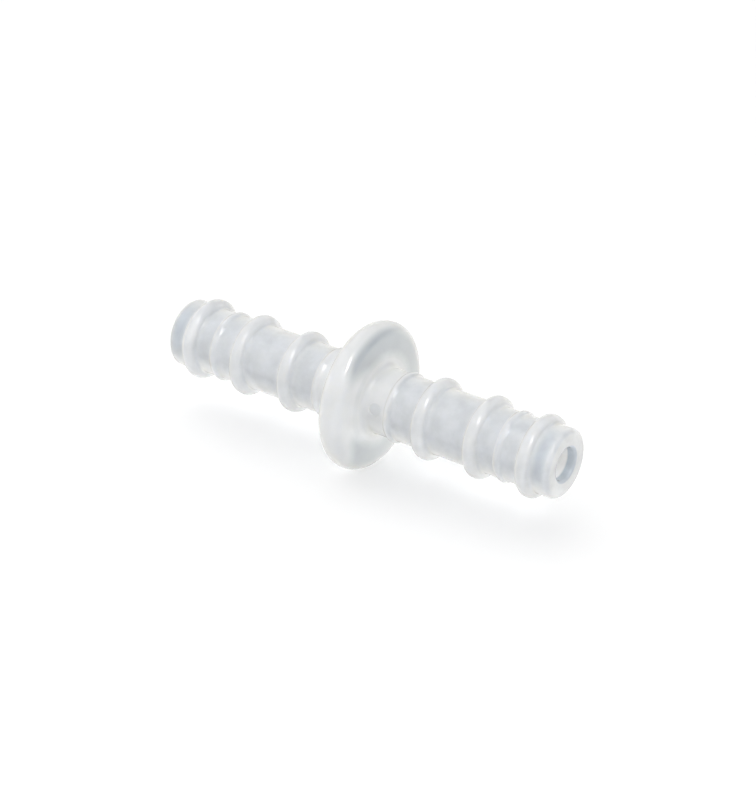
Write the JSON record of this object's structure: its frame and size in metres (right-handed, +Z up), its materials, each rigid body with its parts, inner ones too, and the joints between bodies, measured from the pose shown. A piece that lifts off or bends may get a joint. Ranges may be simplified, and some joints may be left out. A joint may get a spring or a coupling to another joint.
{
  "type": "flanged tube connector",
  "caption": "Straight one-piece connector for soft tubing, with a ribbed stub on each side of a round flange and a straight bore from end to end.",
  "frame": {"origin": "centre of the connector: on the bore axis, midway through the flange", "axes": "+X along the bore axis towards one end, +Z up, and the connector is round about X"},
  "size_m": [0.0382, 0.0128, 0.0128],
  "materials": {
    "natural_polypropylene": "milky translucent, satin"
  },
  "bodies": {
    "root": {"coupling_body": "natural_polypropylene"}
  },
  "joints": []
}
